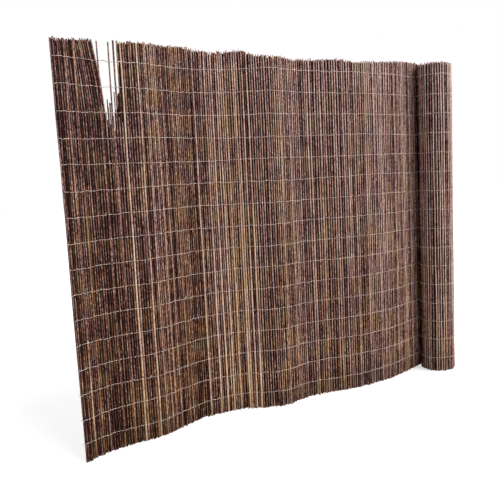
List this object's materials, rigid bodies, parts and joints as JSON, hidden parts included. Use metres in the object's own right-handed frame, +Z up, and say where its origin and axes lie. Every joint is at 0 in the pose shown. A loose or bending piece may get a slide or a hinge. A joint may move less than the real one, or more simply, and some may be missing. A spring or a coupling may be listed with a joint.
{
  "type": "willow screening fence",
  "caption": "Partly unrolled garden screen of upright willow rods bound by rows of thin galvanised wire, standing on its cut ends with the rest of the mat as a roll at one end.",
  "frame": {"origin": "middle of the plan's bounding box, on the ground under the rods' cut ends", "axes": "+X along the unrolled run towards the roll, +Z up along the rods, -Y to the side where the roll bulges"},
  "size_m": [2.5418, 0.2924, 2.035],
  "materials": {
    "willow": "unpeeled willow bark, mauve-brown to dark brown with some pale tan rods, matt",
    "binding_wire": "thin galvanised wire, dulled by weather"
  },
  "bodies": {
    "root": {"willow_mat": "willow", "wire_row_01": "binding_wire", "wire_row_02": "binding_wire", "wire_row_03": "binding_wire", "wire_row_04": "binding_wire", "wire_row_05": "binding_wire", "wire_row_06": "binding_wire", "wire_row_07": "binding_wire", "wire_row_08": "binding_wire", "wire_row_09": "binding_wire", "wire_row_10": "binding_wire", "wire_row_11": "binding_wire", "wire_row_12": "binding_wire", "wire_row_13": "binding_wire", "wire_row_14": "binding_wire", "wire_row_15": "binding_wire", "wire_row_16": "binding_wire"}
  },
  "joints": []
}
